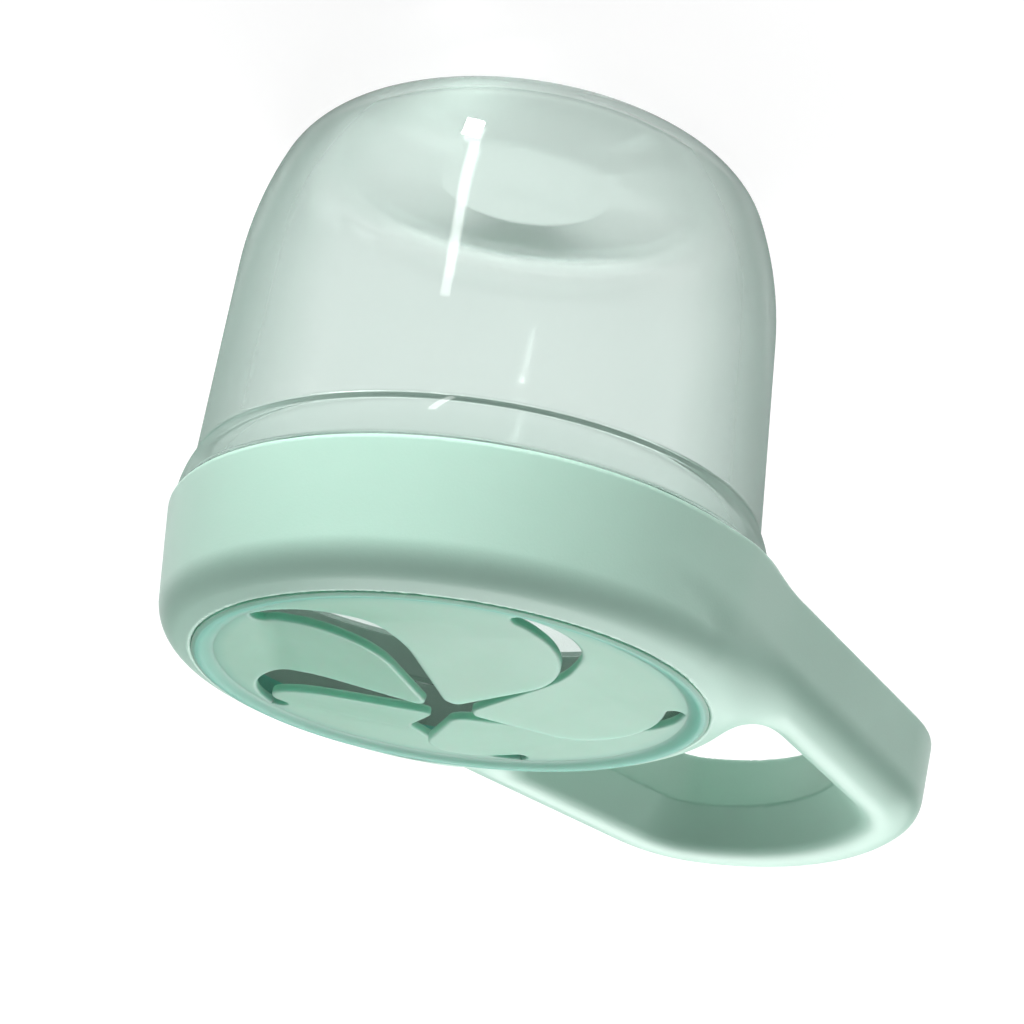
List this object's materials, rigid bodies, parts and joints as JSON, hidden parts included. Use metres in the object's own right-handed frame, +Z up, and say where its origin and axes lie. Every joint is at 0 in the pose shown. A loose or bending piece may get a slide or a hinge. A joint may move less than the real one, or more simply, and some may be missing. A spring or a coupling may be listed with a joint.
{
  "type": "toddler snack container",
  "caption": "Round clear snack cup with a press-on lid collar, a loop handle at its side, and a soft slitted insert that a small hand reaches through.",
  "frame": {"origin": "centre of the cup's flat base, on the surface it stands on", "axes": "+Z up along the cup's axis, +X from the cup's axis towards the handle"},
  "size_m": [0.138, 0.093, 0.0909],
  "materials": {
    "clear_cup": "gloss",
    "mint_collar": "satin",
    "soft_insert": "satin"
  },
  "bodies": {
    "cup": {"cup": "clear_cup"},
    "lid": {"lid_collar": "mint_collar", "flap_ring": "soft_insert"},
    "flap_1": {"flap_1": "soft_insert"},
    "flap_2": {"flap_2": "soft_insert"},
    "flap_3": {"flap_3": "soft_insert"},
    "flap_4": {"flap_4": "soft_insert"},
    "flap_5": {"flap_5": "soft_insert"}
  },
  "joints": [
    {"name": "lid_lift", "type": "slide", "parent": "cup", "child": "lid", "axis": [0, 0, 1], "range_m": [0, 0.03]},
    {"name": "flap_1_bend", "type": "hinge", "parent": "lid", "child": "flap_1", "pos_m": [-0.02101, 0.01859, 0.086], "axis": [-0.4313, -0.9022, 0], "range_deg": [-60, 45], "stiffness_Nm_per_rad": 0.03},
    {"name": "flap_2_bend", "type": "hinge", "parent": "lid", "child": "flap_2", "pos_m": [-0.02417, -0.01424, 0.086], "axis": [0.7248, -0.689, 0], "range_deg": [-60, 45], "stiffness_Nm_per_rad": 0.03},
    {"name": "flap_3_bend", "type": "hinge", "parent": "lid", "child": "flap_3", "pos_m": [0.00607, -0.02739, 0.086], "axis": [0.8792, 0.4764, 0], "range_deg": [-60, 45], "stiffness_Nm_per_rad": 0.03},
    {"name": "flap_4_bend", "type": "hinge", "parent": "lid", "child": "flap_4", "pos_m": [0.02792, -0.00269, 0.086], "axis": [-0.1814, 0.9834, 0], "range_deg": [-60, 45], "stiffness_Nm_per_rad": 0.03},
    {"name": "flap_5_bend", "type": "hinge", "parent": "lid", "child": "flap_5", "pos_m": [0.01118, 0.02573, 0.086], "axis": [-0.9913, 0.1314, 0], "range_deg": [-60, 45], "stiffness_Nm_per_rad": 0.03}
  ]
}
